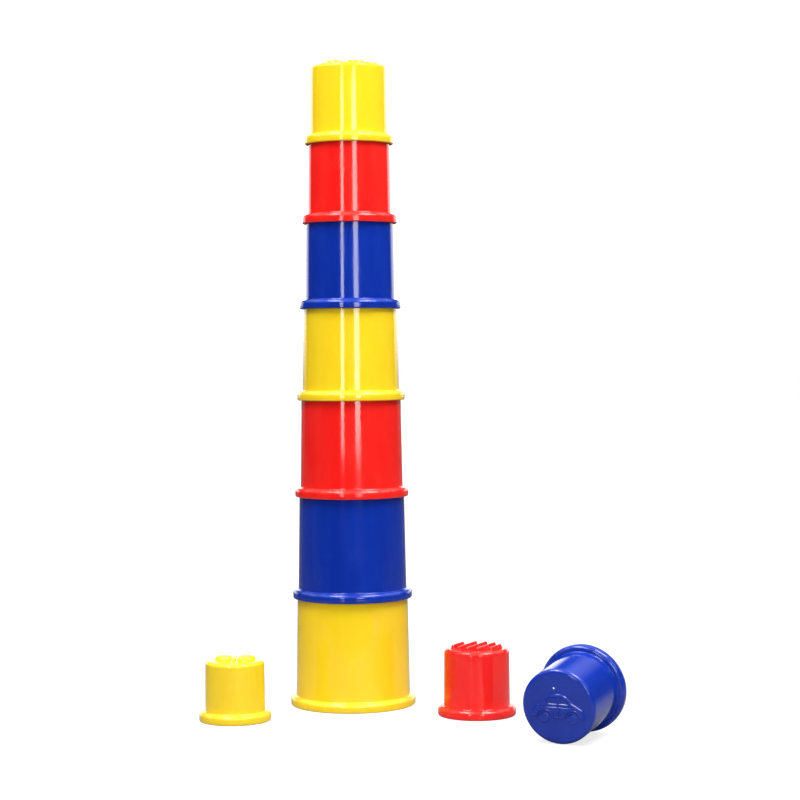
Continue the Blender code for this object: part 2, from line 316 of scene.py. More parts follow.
def car(cut: Carving) -> Grid:
    """A plain rounded toy car from the side: two windows, a door line, a ribbed sill and two wheels.

    Args:
        cut: The closed end to carve.

    Returns:
        The height field, 1 at full height.
    """
    p = cut.plane
    arch, wheel, wheel_y = 0.24, 0.17, -0.38
    outline = [arc((0.02, -0.05), 0.5, 25, 150, 24), arc((-0.52, -0.34), 0.42, 110, 180, 12)]
    outline += [arc((x, -0.36), arch, 180, 0, 20) for x in (-0.5, 0.5)]
    edge = p.polygon(np.concatenate(outline + [np.array([(0.95, -0.36), (0.86, -0.06)])]))
    body = cut.raised(edge, 0.75)
    glass = p.disc(0.02, -0.05, 0.41)
    for left, right in ((-0.33, -0.02), (0.06, 0.37)):
        pane = np.maximum(np.maximum(glass, left - p.x), np.maximum(p.x - right, 0.12 - p.y))
        body -= cut.raised(pane, 0.45)
    inside = smooth_rise((-edge - 0.03) / 0.02)
    body -= inside * cut.groove(p.bar((0.02, 0.08), (0.02, -0.3), 0.0), 0.3, 0.03)
    body -= inside * cut.groove(p.bar((-0.86, 0.02), (0.86, 0.02), 0.0), 0.25, 0.025)
    body += cut.raised(p.bar((0.1, -0.08), (0.2, -0.08), 0.035), 0.2)
    for x in np.linspace(-0.18, 0.18, 5):
        body -= inside * cut.groove(p.bar((x, -0.2), (x, -0.36), 0.0), 0.35, 0.028)
    for x in (-0.5, 0.5):
        fender = np.abs(p.disc(x, -0.36, arch + 0.05)) - 0.02
        body += inside * np.where(p.y > -0.36, cut.raised(fender, 0.2), 0.0)
        tyre = cut.domed(p.disc(x, wheel_y, wheel), 0.12, 0.8)
        body = np.maximum(body, tyre - cut.groove(p.disc(x, wheel_y, 0.08), 0.12, 0.04))
    return body


def bars(cut: Carving) -> Grid:
    """Five parallel half-round bars across the circle.

    Args:
        cut: The closed end to carve.

    Returns:
        The height field, 1 at full height.
    """
    pitch, width = 0.42, 0.17
    along = np.array(polar(1.0, BAR_LEAN))
    across = np.array([along[1], -along[0]])
    height = np.zeros(cut.plane.x.shape)
    for offset in pitch * np.arange(-2, 3):
        half = along * (math.sqrt(1.0 - offset**2) - width / 2)
        middle = across * offset
        bar = cut.plane.bar(tuple(middle - half), tuple(middle + half), width)
        height = np.maximum(height, cut.domed(bar, width / 2))
    return height


def butterfly(cut: Carving) -> Grid:
    """Two pairs of spotted wings beside a slim ringed body.

    Args:
        cut: The closed end to carve.

    Returns:
        The height field, 1 at full height.
    """
    p = cut.plane
    body = cut.domed(p.bar((0, -0.6), (0, 0.5), 0.12), 0.06)
    for row in np.linspace(-0.45, 0.2, 5):
        body -= np.where(body > 0.5, cut.groove(p.y - row, 0.25, 0.03), 0.0)
    height = body
    for side in (-1, 1):
        upper = cut.domed(p.oval(side * 0.54, 0.3, 0.4, 0.34), 0.2)
        upper -= cut.groove(p.disc(side * 0.56, 0.32, 0.13), 0.3, 0.04)
        lower = cut.domed(p.oval(side * 0.44, -0.42, 0.3, 0.28), 0.18)
        lower -= cut.groove(p.disc(side * 0.45, -0.42, 0.08), 0.3, 0.04)
        height = np.maximum(height, np.maximum(upper, lower))
    return height


class Picture(Enum):
    """The raised picture on each closed end: how it is drawn, where its vent hole is, and how high it is."""

    SUN = (sun, (0.7, 0.29), RELIEF)
    FISH = (fish, (0.1, 0.72), RELIEF)
    HOUSE = (house, (0.68, 0.52), RELIEF)
    STAR = (star, (0.45, 0.62), RELIEF)
    BOAT = (boat, (0.55, 0.5), RELIEF)
    HEART = (heart, (0.0, 0.75), RELIEF)
    FLOWER = (flower, polar(0.9, BETWEEN_PETALS), RELIEF)
    CAR = (car, (-0.14, 0.64), CAR_RELIEF)
    BARS = (bars, (0.63 * math.sin(BAR_LEAN), -0.63 * math.cos(BAR_LEAN)), RELIEF)
    BUTTERFLY = (butterfly, (0.0, 0.8), RELIEF)

    def heights(self, cut: Carving) -> Grid:
        """The picture's height field, from 0 to 1."""
        return np.clip(self.value[0](cut), 0.0, 1.0)

    @property
    def vent(self) -> tuple[float, float]:
        """The vent hole's centre in units of the picture's radius."""
        return self.value[1]

    @property
    def relief(self) -> float:
        """How high the picture stands on the closed end."""
        return self.value[2]


@dataclass(frozen=True)
class MouldSizes:
    """What every cup of the set has in common: sizes in metres, and the places and turns of small marks."""

    body_wall: float = 1.8 * MM
    end_wall: float = 1.8 * MM
    skirt_wall: float = 1.8 * MM
    step_wall: float = 2.6 * MM
    skirt_depth: float = 4.4 * MM
    shoulder: float = 3.0 * MM
    inner_shoulder: float = 1.2 * MM
    rim_fillet: float = 1.0 * MM
    rim_crown: float = 3.2 * MM
    mouth_round: float = 1.0 * MM
    mouth_edge: float = 0.4 * MM
    inner_edge: float = 0.3 * MM
    picture_border: float = 3.0 * MM
    end_inset: float = 9.6 * MM
    picture_slope: float = 0.8 * MM
    vent: float = 0.8 * MM
    vent_edge: float = 0.2 * MM
    ridge: float = 0.05 * MM
    ridge_width: float = 0.25 * MM
    gate_radius: float = 1.6 * MM
    gate_depth: float = 0.4 * MM
    pin_radius: float = 2.5 * MM
    pin_depth: float = 0.12 * MM
    pin_place: float = 0.55
    pin_turn: float = 0.5
    squash: float = 0.0005

    @property
    def step_top(self) -> float:
        """Height of the ledge over the skirt."""
        return self.skirt_depth + self.step_wall

    def rim_rounds(self, width: float) -> tuple[float, float]:
        """The fillet's and the crown's radius on a rim of the given width, both smaller if it is narrow."""
        share = min(1.0, 0.96 * width / (self.rim_fillet + self.rim_crown))
        return share * self.rim_fillet, share * self.rim_crown


MOULD = MouldSizes()


@dataclass(frozen=True)
class CupSizes:
    """One cup's own sizes, read off its CAD node."""

    height: float
    top_radius: float
    draft: float
    rim_radius: float

    @classmethod
    def measured(cls, points: Grid, axis: Grid) -> "CupSizes":
        """Reads the sizes from the node's points, as height along the axis and distance from it.

        The closed end's height is read outside the raised picture, on what is nearer than the end inset to
        the rim's radius.

        Args:
            points: The node's points from the mouth's centre, one row each.
            axis: Unit vector from the mouth to the closed end.

        Returns:
            The sizes.
        """
        along = points @ axis
        away = np.linalg.norm(points - along[:, None] * axis, axis=1)
        height = along[away > away.max() - MOULD.end_inset].max()
        side = height - MOULD.shoulder
        top_radius = away[np.abs(along - side) < SAME_PLACE].max()
        foot = (along > MOULD.step_top + SAME_PLACE) & (along < side - SAME_PLACE)
        draft = (away[foot].min() - top_radius) / (side - along[foot].max())
        return cls(float(height), float(top_radius), float(draft), float(away.max()))

    def body_radius(self, height: float) -> float:
        """The tapered body's outer radius at a height above the mouth."""
        return self.top_radius + self.draft * (self.height - MOULD.shoulder - height)

    @property
    def flat_radius(self) -> float:
        """The radius of the closed end's flat."""
        return self.top_radius - MOULD.shoulder

    @property
    def picture_radius(self) -> float:
        """The radius of the circle that the picture fills."""
        return self.flat_radius - MOULD.picture_border


@dataclass(frozen=True)
class Standing:
    """How a cup stands: its axis from mouth to closed end, its mouth's centre, and its turning matrix."""

    axis: Grid
    mouth: Grid
    turned: Matrix

    @property
    def place(self) -> Matrix:
        """Takes the cup's own coordinates to the frame's."""
        return Matrix.Translation(Vector(self.mouth)) @ self.turned

    @classmethod
    def upright(cls, points: Grid) -> "Standing":
        """A cup on its mouth: its axis goes up through the middle of its box.

        Args:
            points: The CAD node's points.

        Returns:
            How the cup stands.
        """
        low, high = points.min(axis=0), points.max(axis=0)
        middle = (low + high) / 2
        return cls(np.array([0.0, 0.0, 1.0]), np.array([middle[0], middle[1], low[2]]), Matrix.Identity(4))

    @classmethod
    def lying(cls, points: Grid, heading: float) -> "Standing":
        """A cup on its side, whose closed end points along the heading and dips towards the floor.

        The dip is the one for which the ring of mouth points, the ones least far along the axis, is flattest.

        Args:
            points: The CAD node's points.
            heading: Compass direction of the axis, turned from +X towards +Y.

        Returns:
            How the cup lies.
        """
        dips = np.radians(np.arange(0.0, 12.0, 0.01))
        level = np.cos(dips)
        axes = np.stack([math.cos(heading) * level, math.sin(heading) * level, -np.sin(dips)])
        along = np.sort(points @ axes, axis=0)[:MOUTH_POINTS]
        best = int(along.std(axis=0).argmin())
        axis = axes[:, best]
        mouth = points[np.argsort(points @ axis)[:MOUTH_POINTS]].mean(axis=0)
        tipped = Matrix.Rotation(math.pi / 2 + float(dips[best]), 4, "Y")
        turned = Matrix.Rotation(heading, 4, "Z") @ tipped @ Matrix.Rotation(math.pi / 2, 4, "Z")
        return cls(axis, mouth, turned)


def node_points(node: str) -> Grid:
    """A CAD node's vertices as an array of rows.

    Args:
        node: The node's name.

    Returns:
        The points, without repeats.
    """
    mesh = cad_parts[node].data
    flat = np.zeros(len(mesh.vertices) * 3, np.float32)
    mesh.vertices.foreach_get("co", flat)
    return np.unique(np.round(flat.reshape(-1, 3).astype(float), 7), axis=0)


def placed(name: str, data: bpy.types.ID) -> bpy.types.Object:
    """Puts a new object in the scene.

    Args:
        name: The object's name.
        data: Its mesh, light or camera.

    Returns:
        The object.
    """
    made = bpy.data.objects.new(name, data)
    bpy.context.scene.collection.objects.link(made)
    return made


def mesh_of(name: str, points: Grid, quads: Grid, triangles: Grid) -> bpy.types.Mesh:
    """Puts points and faces into a smooth-shaded mesh, leaving out points that no face uses.

    Args:
        name: The mesh's name.
        points: One row each.
        quads: Corner indices of the four-sided faces, one row each.
        triangles: Corner indices of the three-sided faces, one row each.

    Returns:
        The mesh.
    """
    corners = np.concatenate([quads.ravel(), triangles.ravel()])
    used, corners = np.unique(corners, return_inverse=True)
    starts = np.concatenate([4 * np.arange(len(quads)), quads.size + 3 * np.arange(len(triangles))])
    mesh = bpy.data.meshes.new(name)
    mesh.vertices.add(len(used))
    mesh.vertices.foreach_set("co", points[used].astype(np.float32).ravel())
    mesh.loops.add(len(corners))
    mesh.loops.foreach_set("vertex_index", corners.astype(np.int32))
    mesh.polygons.add(len(starts))
    mesh.polygons.foreach_set("loop_start", starts.astype(np.int32))
    mesh.polygons.foreach_set("use_smooth", np.ones(len(starts), bool))
    mesh.update(calc_edges=True)
    mesh.validate()
    return mesh


@dataclass(frozen=True)
class MeshSteps:
    """How finely a cup is divided: columns around it, and rings across its closed end."""

    columns: int
    end_rings: int


@dataclass
class StackingCup:
    """One cup: a closed turned shell with a raised picture and a vent hole in its closed end."""

    number: int
    picture: Picture
    standing: Standing
    sizes: CupSizes
    steps: MeshSteps

    @classmethod
    def from_node(
        cls, number: int, picture: Picture, steps: MeshSteps, heading: float | None = None
    ) -> "StackingCup":
        """Reads one cup off its CAD node.

        Args:
            number: The cup's number, 1 for the largest.
            picture: What its closed end shows.
            steps: How finely its mesh is divided.
            heading: Compass direction of a lying cup's axis, or None for a cup on its mouth.

        Returns:
            The cup, not built yet.
        """
        points = node_points(f"cup_{number}")
        standing = Standing.upright(points) if heading is None else Standing.lying(points, heading)
        sizes = CupSizes.measured(points - standing.mouth, standing.axis)
        return cls(number, picture, standing, sizes, steps)

    def section(self) -> Grid:
        """Half the shell's section, from the edge of the flat end down the outside and back up the inside.

        Straight runs and quarter arcs follow one another: shoulder, tapered body, fillet, ledge, crown, rim
        with its parting ridge, mouth, skirt inside, the step's underside, the inner wall and its round.

        Returns:
            Radius and height of each ring, one row each, without the rings of either flat.
        """
        s, m = self.sizes, MOULD
        fillet, crown = m.rim_rounds(s.rim_radius - s.body_radius(m.step_top))
        foot = s.body_radius(m.step_top + fillet)
        skirt = s.rim_radius - m.skirt_wall
        inner_foot = s.body_radius(m.skirt_depth) - m.body_wall
        inner_end = s.height - m.end_wall
        inner_side = s.body_radius(inner_end) - m.body_wall
        edge, inner_edge, inner_round = m.mouth_edge, m.inner_edge, m.inner_shoulder
        part = (m.mouth_round + m.step_top - crown) / 2
        ridge = np.array([(0.0, 1.0), (0.7, 0.4), (0.7, -0.4), (0.0, -1.0)]) * (m.ridge, m.ridge_width)
        arcs = [
            arc((s.flat_radius, s.height - m.shoulder), m.shoulder, 90, 0, 16)[1:],
            arc((foot + fillet, m.step_top + fillet), fillet, 180, 270, 9),
            arc((s.rim_radius - crown, m.step_top - crown), crown, 90, 0, 10),
            ridge + (s.rim_radius, part),
            arc((s.rim_radius - m.mouth_round, m.mouth_round), m.mouth_round, 0, -90, 7),
            arc((skirt + edge, edge), edge, 270, 180, 4),
            arc((skirt - inner_edge, m.skirt_depth - inner_edge), inner_edge, 0, 90, 3),
            arc((inner_foot + inner_edge, m.skirt_depth + inner_edge), inner_edge, 270, 180, 3),
            arc((inner_side - inner_round, inner_end - inner_round), inner_round, 0, 90, 7)[:-1],
        ]
        runs = [16, 2, 2, 2, 2, 3, 3, 10]
        pieces = [arcs[0]]
        for before, after, steps in zip(arcs, arcs[1:], runs):
            pieces += [run(tuple(before[-1]), tuple(after[0]), steps), after]
        return np.concatenate(pieces)

    def build(self) -> bpy.types.Object:
        """Builds the shell as rings of one column count, closed by a point at the middle of each flat.

        Ring i and column j meet at radius_i times (cosine, sine) of angle_j and at height_i. The flat end's
        rings carry the picture's height field. Around the vent the rings and columns are drawn onto a circle,
        the cells inside it are left out, and a wall joins the two openings.

        Returns:
            The cup's object, with its place in its mesh.
        """
        s, m, columns = self.sizes, MOULD, self.steps.columns
        end_radii = s.flat_radius * np.arange(1, self.steps.end_rings + 1) / self.steps.end_rings
        vent = Vent.on(self, end_radii)
        order = np.arange(len(end_radii))
        under = order[(order % 2 == 1) | (np.abs(order - vent.ring) <= vent.reach)][::-1]
        section = self.section()
        radius = np.concatenate([end_radii, section[:, 0], end_radii[under]])
        top, bottom = np.full(len(order), s.height), np.full(len(under), s.height - m.end_wall)
        height = np.concatenate([top, section[:, 1], bottom])
        end_ring = np.concatenate([order, np.full(len(section), np.inf), under])
        turn = 2 * math.pi * np.arange(columns) / columns
        x, y = vent.drawn_round(radius[:, None] * np.cos(turn), radius[:, None] * np.sin(turn), end_ring)
        z = np.repeat(height[:, None], columns, axis=1)
        z[: len(order)] += self.raised(x[: len(order)], y[: len(order)])
        z[-len(under) :] -= self.mould_marks(x[-len(under) :], y[-len(under) :])
        grid = np.arange(radius.size * columns).reshape(radius.size, columns)
        beside = np.roll(grid, -1, axis=1)
        quads = np.stack([grid[:-1], grid[1:], beside[1:], beside[:-1]], axis=-1)
        quads = quads[~vent.opened(end_ring)]
        points = np.stack([x, y, z], axis=-1).reshape(-1, 3)
        wall_points, wall_quads = vent.wall(points, grid, end_ring, s.height)
        poles = np.array([[0.0, 0.0, s.height], [0.0, 0.0, s.height - m.end_wall - m.gate_depth]])
        poles[0, 2] += self.raised(np.zeros(1), np.zeros(1))[0]
        first = len(points) + len(wall_points)
        top_fan = np.stack([np.full(columns, first), grid[0], beside[0]], axis=-1)
        under_fan = np.stack([grid[-1], np.full(columns, first + 1), beside[-1]], axis=-1)
        points = np.concatenate([points, wall_points, poles])
        points[:, :2] *= (1.0 + m.squash, 1.0 - m.squash)
        place = np.array(self.standing.place)
        points = points @ place[:3, :3].T + place[:3, 3]
        name = f"{Colour.of(self.number).name.lower()}_cup_{self.number}_{self.picture.name.lower()}"
        quads = np.concatenate([quads, wall_quads])
        return placed(name, mesh_of(name, points, quads, np.concatenate([top_fan, under_fan])))

    def raised(self, x: Grid, y: Grid) -> Grid:
        """How far the picture stands above the closed end.

        Args:
            x: Place across.
            y: Place up.

        Returns:
            The height field, in metres.
        """
        radius = self.sizes.picture_radius
        cut = Carving(Plane2D(x / radius, y / radius), MOULD.picture_slope / radius)
        return self.picture.relief * self.picture.heights(cut)

    def mould_marks(self, x: Grid, y: Grid) -> Grid:
        """How far the end's underside is below its flat: a gate's nub in the middle and three pin marks.

        Args:
            x: Place across.
            y: Place up.

        Returns:
            The depth field, below zero in the pins' shallow pits.
        """
        m = MOULD
        nub = m.gate_depth * smooth_rise(1.5 - np.hypot(x, y) / m.gate_radius)
        pits = np.zeros(x.shape)
        for a in m.pin_turn + 2 * math.pi * np.arange(3) / 3:
            pin = Plane2D(x, y).disc(*polar(m.pin_place * self.sizes.flat_radius, a), m.pin_radius)
            pits += m.pin_depth * smooth_rise(0.5 - pin / m.picture_slope)
        return nub - pits


@dataclass(frozen=True)
class Vent:
    """The small hole through a closed end, as a block of grid cells drawn onto a circle."""

    centre: Grid
    ring: int
    column: int
    half_rings: int
    half_columns: int
    columns: int

    @classmethod
    def on(cls, cup: StackingCup, end_radii: Grid) -> "Vent":
        """Finds the block of cells under a cup's vent.

        Args:
            cup: The cup.
            end_radii: Radii of the closed end's rings.

        Returns:
            The vent.
        """
        centre = cup.sizes.picture_radius * np.array(cup.picture.vent)
        radius, columns = float(np.hypot(*centre)), cup.steps.columns
        open_radius = MOULD.vent + MOULD.vent_edge
        turn = math.atan2(centre[1], centre[0]) % (2 * math.pi)
        return cls(
            centre=centre,
            ring=int(np.abs(end_radii - radius).argmin()),
            column=round(turn / (2 * math.pi) * columns) % columns,
            half_rings=max(1, round(open_radius / end_radii[0])),
            half_columns=max(1, round(open_radius / (2 * math.pi * radius / columns))),
            columns=columns,
        )

    @property
    def reach(self) -> int:
        """How many rings either side of the middle the vent draws along."""
        return math.ceil(VENT_FADE * self.half_rings)

    def blocks_away(self, end_ring: Grid) -> Grid:
        """The larger of each grid point's distances from the vent in rings and in columns, in half blocks.

        Args:
            end_ring: Each ring's number on the flat end, infinite off it.

        Returns:
            One row for each ring, one column for each column.
        """
        rings = np.abs(end_ring - self.ring) / self.half_rings
        half_turn = self.columns // 2
        around = (np.arange(self.columns) - self.column + half_turn) % self.columns - half_turn
        return np.maximum(rings[:, None], np.abs(around)[None, :] / self.half_columns)

    def drawn_round(self, x: Grid, y: Grid, end_ring: Grid) -> tuple[Grid, Grid]:
        """Draws the square blocks around the vent onto circles, which fade back into the grid outside.

        A point s half blocks away goes to s times the vent's open radius in its own direction, mixed with its
        own place by an eased share that reaches one at VENT_FADE half blocks.

        Args:
            x: Grid points' place across.
            y: Grid points' place up.
            end_ring: Each ring's number on the flat end, infinite off it.

        Returns:
            The new x and y.
        """
        away = np.minimum(self.blocks_away(end_ring), VENT_FADE)
        dx, dy = x - self.centre[0], y - self.centre[1]
        scale = (MOULD.vent + MOULD.vent_edge) * away / np.maximum(np.hypot(dx, dy), 1e-9)
        kept = smooth_rise((away - 1.0) / (VENT_FADE - 1.0))
        factor = kept + (1.0 - kept) * scale
        return self.centre[0] + dx * factor, self.centre[1] + dy * factor

    def opened(self, end_ring: Grid) -> Grid:
        """Which cells between neighbouring rings and columns lie in the vent's block.

        Args:
            end_ring: Each ring's number on the flat end, infinite off it.

        Returns:
            True where a cell is left out.
        """
        inside = self.blocks_away(end_ring) <= 1.0 + 1e-9
        level = inside[:-1] & inside[1:]
        return level & np.roll(level, -1, axis=1)

    def loop(self, grid: Grid, inner: int, outer: int) -> Grid:
        """The grid points round the vent's block, from its inner ring outwards and back.

        Args:
            grid: Point numbers by ring and column.
            inner: Row of the block's ring nearest the axis.
            outer: Row of the ring furthest from it.

        Returns:
            Point numbers in order.
        """
        step = 1 if outer > inner else -1
        rows = np.arange(inner, outer + step, step)
        across = (self.column + np.arange(-self.half_columns, self.half_columns + 1)) % self.columns
        there = [grid[inner, across], grid[rows[1:], across[-1]]]
        back = [grid[outer, across[-2::-1]], grid[rows[-2:0:-1], across[0]]]
        return np.concatenate(there + back)

    def wall(self, points: Grid, grid: Grid, end_ring: Grid, top: float) -> tuple[Grid, Grid]:
        """The hole's wall, with a rounded edge at both ends.

        Args:
            points: The shell's points.
            grid: Point numbers by ring and column.
            end_ring: Each ring's number on the flat end.
            top: Height of the flat end.

        Returns:
            New points, and the quads that join them to the shell.
        """
        inner, outer = self.ring - self.half_rings, self.ring + self.half_rings
        top_loop = self.loop(grid, inner, outer)
        under_loop = self.loop(grid, *(int(np.flatnonzero(end_ring == ring)[-1]) for ring in (inner, outer)))
        out = points[top_loop, :2] - self.centre
        out /= np.linalg.norm(out, axis=1)[:, None]
        edge = MOULD.vent_edge
        upper = arc((MOULD.vent + edge, top - edge), edge, 90, 180, 3)[1:]
        lower = arc((MOULD.vent + edge, top - MOULD.end_wall + edge), edge, 180, 270, 3)[:-1]
        path = np.concatenate([upper, lower])
        flat = self.centre + out[None] * path[:, 0][:, None, None]
        heights = np.repeat(path[:, 1][:, None, None], len(out), axis=1)
        made = np.concatenate([flat, heights], axis=2).reshape(-1, 3)
        numbers = len(points) + np.arange(len(made)).reshape(len(path), len(out))
        rings = np.vstack([top_loop, numbers, under_loop])
        ahead = np.roll(rings, -1, axis=1)
        quads = np.stack([ahead[:-1], rings[:-1], rings[1:], ahead[1:]], axis=-1)
        return made, quads.reshape(-1, 4)


class Wiring:
    """Adds nodes to one node tree and joins them."""

    def __init__(self, tree: bpy.types.NodeTree) -> None:
        """Starts from an empty tree."""
        tree.nodes.clear()
        self.tree = tree

    def add(self, kind: str, wires: Wires | None = None, **settings: object) -> bpy.types.Node:
        """Adds a node.

        Args:
            kind: The node's type name without its ShaderNode start.
            wires: What goes into each input, by name or number: a socket to join, or a plain value.
            **settings: The node's own settings.

        Returns:
            The node.
        """
        made = self.tree.nodes.new("ShaderNode" + kind)
        for name, value in settings.items():
            setattr(made, name, value)
        for key, value in (wires or {}).items():
            if isinstance(value, Socket):
                self.tree.links.new(value, made.inputs[key])
            else:
                made.inputs[key].default_value = value
        return made

    def math(self, operation: str, first: object, second: object = 0.0) -> Socket:
        """The result of one sum on two numbers, either of which may be a socket."""
        return self.add("Math", {0: first, 1: second}, operation=operation).outputs[0]

    def ramp(
        self, value: object, low: float, high: float, to_low: float = 0.0, to_high: float = 1.0
    ) -> Socket:
        """An eased ramp from to_low to to_high as the value goes from low to high."""
        wires = {"Value": value, "From Min": low, "From Max": high, "To Min": to_low, "To Max": to_high}
        return self.add("MapRange", wires, interpolation_type="SMOOTHSTEP").outputs["Result"]

    def noise(self, vector: object, scale: float, detail: float = 2.0, rough: float = 0.5) -> Socket:
        """A noise between 0 and 1, whose scale is in features to the metre."""
        wires = {"Vector": vector, "Scale": scale, "Detail": detail, "Roughness": rough}
        return self.add("TexNoise", wires).outputs[0]

    def stretched(self, vector: object, scale: tuple[float, float, float], turn: float = 0.0) -> Socket:
        """A vector scaled on each axis, after a turn about X."""
        turned = self.add("Mapping", {"Vector": vector, "Rotation": (turn, 0.0, 0.0)}).outputs[0]
        return self.add("Mapping", {"Vector": turned, "Scale": scale}).outputs[0]


@dataclass(frozen=True)
class MouldedPlastic:
    """A glossy injection-moulded plastic, dyed right through.

    Its dye is a little uneven along the flow. It is smudged by handling, has hairline scratches, and is paler
    and duller where cups rub: on the rim's crown and mouth, on the picture and faintly on the shoulder.
    """

    dye: tuple[float, float, float]
    thin_dye: tuple[float, float, float]
    worn_dye: tuple[float, float, float]
    gloss_roughness: float = 0.075
    smudged_roughness: float = 0.12
    worn_roughness: float = 0.18
    refraction: float = 1.49
    worn_share: float = 0.25
    glow_through: float = 0.3
    glow_tint: tuple[float, float, float] = (1.0, 0.6, 0.3)
    glow_depth: float = 1.5 * MM

    def edge_masks(self, w: Wiring, radius: object, height: object, cup: StackingCup) -> Socket:
        """How near each point is to an edge that rubs, from 0 to 1.

        Next to a round of radius q between an upright and a level face, the sum of the distances past both
        faces is greatest, at -0.59 q, halfway round it, and -q where the round ends.

        Args:
            w: Where the nodes go.
            radius: Distance from the cup's axis.
            height: Height above the cup's mouth.
            cup: The cup.

        Returns:
            The mask.
        """
        m, sizes, relief = MOULD, cup.sizes, cup.picture.relief
        level = w.math("SUBTRACT", radius, sizes.rim_radius)
        crown = w.math("SUBTRACT", level, w.math("ABSOLUTE", w.math("SUBTRACT", height, m.step_top)))
        mouth = w.math("SUBTRACT", level, height)
        over_top = w.math("SUBTRACT", height, sizes.height)
        shoulder = w.math("ADD", w.math("SUBTRACT", radius, sizes.top_radius), over_top)
        masks = [
            w.ramp(crown, -0.95 * m.rim_crown, -0.6 * m.rim_crown),
            w.ramp(mouth, -0.95 * m.mouth_round, -0.6 * m.mouth_round),
            w.ramp(shoulder, -0.9 * m.shoulder, -0.6 * m.shoulder, 0.0, 0.15),
            w.ramp(over_top, 0.75 * relief, 0.98 * relief, 0.0, 0.6),
        ]
        strongest = masks[0]
        for mask in masks[1:]:
            strongest = w.math("MAXIMUM", strongest, mask)
        return strongest

    def hairlines(self, w: Wiring, place: object) -> Socket:
        """Fine scratches in three leans: thin lines where a long stretched noise crosses its middle value.

        Args:
            w: Where the nodes go.
            place: The cup's own coordinates.

        Returns:
            How strongly each point is scratched, from 0 to 1.
        """
        lines = None
        for turn, across, along in ((0.1, 900.0, 9.0), (1.2, 700.0, 14.0), (-0.7, 1100.0, 20.0)):
            noise = w.noise(w.stretched(place, (across, across, along), turn), 1.0, 1.0)
            line = w.ramp(w.math("ABSOLUTE", w.math("SUBTRACT", noise, 0.5)), 0.0, 0.012, 1.0, 0.0)
            lines = line if lines is None else w.math("MAXIMUM", lines, line)
        patches = w.ramp(w.noise(place, 45.0, 3.0), 0.5, 0.66)
        return w.math("MULTIPLY", lines, patches)

    def material(self, name: str, cup: StackingCup) -> bpy.types.Material:
        """The plastic for one cup, with its patterns centred on that cup's axis.

        Args:
            name: The material's name.
            cup: The cup.

        Returns:
            The material.
        """
        made = bpy.data.materials.new(name)
        made.use_nodes = True
        made.diffuse_color = (*self.dye, 1.0)
        w = Wiring(made.node_tree)
        back = cup.standing.place.inverted()
        wires = {
            "Vector": w.add("TexCoord").outputs["Object"],
            "Location": back.to_translation(),
            "Rotation": back.to_euler(),
        }
        place = w.add("Mapping", wires, vector_type="POINT").outputs[0]
        parts = w.add("SeparateXYZ", {0: place}).outputs
        flat_place = w.add("CombineXYZ", {0: parts[0], 1: parts[1]}).outputs[0]
        radius = w.add("VectorMath", {0: flat_place}, operation="LENGTH").outputs["Value"]
        patchy = w.ramp(w.noise(place, 190.0, 2.0), 0.35, 0.68)
        worn = w.math("MULTIPLY", self.edge_masks(w, radius, parts[2], cup), patchy)
        scratch = self.hairlines(w, place)
        flow = w.ramp(w.noise(w.stretched(place, (60.0, 60.0, 9.0)), 1.0, 3.0), 0.3, 0.7)
        smudge = w.ramp(w.noise(place, 38.0, 4.0, 0.6), 0.35, 0.7)
        specks = w.ramp(w.noise(place, 1500.0, 2.0), 0.66, 0.76)
        dyed = w.add("Mix", {0: flow, 6: (*self.dye, 1.0), 7: (*self.thin_dye, 1.0)}, data_type="RGBA")
        rubbed = w.math("MAXIMUM", worn, w.math("MULTIPLY", scratch, 0.5))
        share = w.math("MULTIPLY", rubbed, self.worn_share)
        colour = w.add("Mix", {0: share, 6: dyed.outputs[2], 7: (*self.worn_dye, 1.0)}, data_type="RGBA")
        rough = w.math("MULTIPLY", smudge, self.smudged_roughness - self.gloss_roughness)
        rough = w.math("ADD", rough, self.gloss_roughness)
        dull = w.math("MAXIMUM", worn, w.math("MULTIPLY", w.math("MAXIMUM", scratch, specks), 0.4))
        rough = w.math("ADD", rough, w.math("MULTIPLY", dull, self.worn_roughness - self.smudged_roughness))
        swell = w.add("Bump", {"Height": w.noise(place, 320.0, 1.0), "Strength": 1.0, "Distance": 3e-6})
        grain_height = w.math("SUBTRACT", w.noise(place, 2600.0, 2.0), w.math("MULTIPLY", scratch, 2.0))
        wires = {"Height": grain_height, "Strength": 1.0, "Distance": 1.5e-6, "Normal": swell.outputs[0]}
        grain = w.add("Bump", wires)
        shader = w.add(
            "BsdfPrincipled",
            {
                "Base Color": colour.outputs[2],
                "Roughness": rough,
                "Normal": grain.outputs[0],
                "IOR": self.refraction,
                "Subsurface Weight": self.glow_through,
                "Subsurface Radius": self.glow_tint,
                "Subsurface Scale": self.glow_depth,
            },
        )
        w.add("OutputMaterial", {"Surface": shader.outputs[0]})
        return made


class Colour(Enum):
    """The set's three colours, which follow one another from the largest cup down."""

    YELLOW = ("yellow_plastic", MouldedPlastic((0.94, 0.645, 0.014), (0.96, 0.68, 0.02), (0.98, 0.82, 0.22)))
    BLUE = ("blue_plastic", MouldedPlastic((0.003, 0.026, 0.33), (0.005, 0.034, 0.38), (0.08, 0.16, 0.58)))
    RED = ("red_plastic", MouldedPlastic((0.90, 0.012, 0.010), (0.95, 0.022, 0.016), (0.98, 0.16, 0.12)))

    @classmethod
    def of(cls, number: int) -> "Colour":
        """The colour of a cup by its number."""
        return list(cls)[(number - 1) % len(cls)]

    @property
    def slot(self) -> str:
        """The record's material slot."""
        return self.value[0]

    @property
    def finish(self) -> MouldedPlastic:
        """The plastic."""
        return self.value[1]


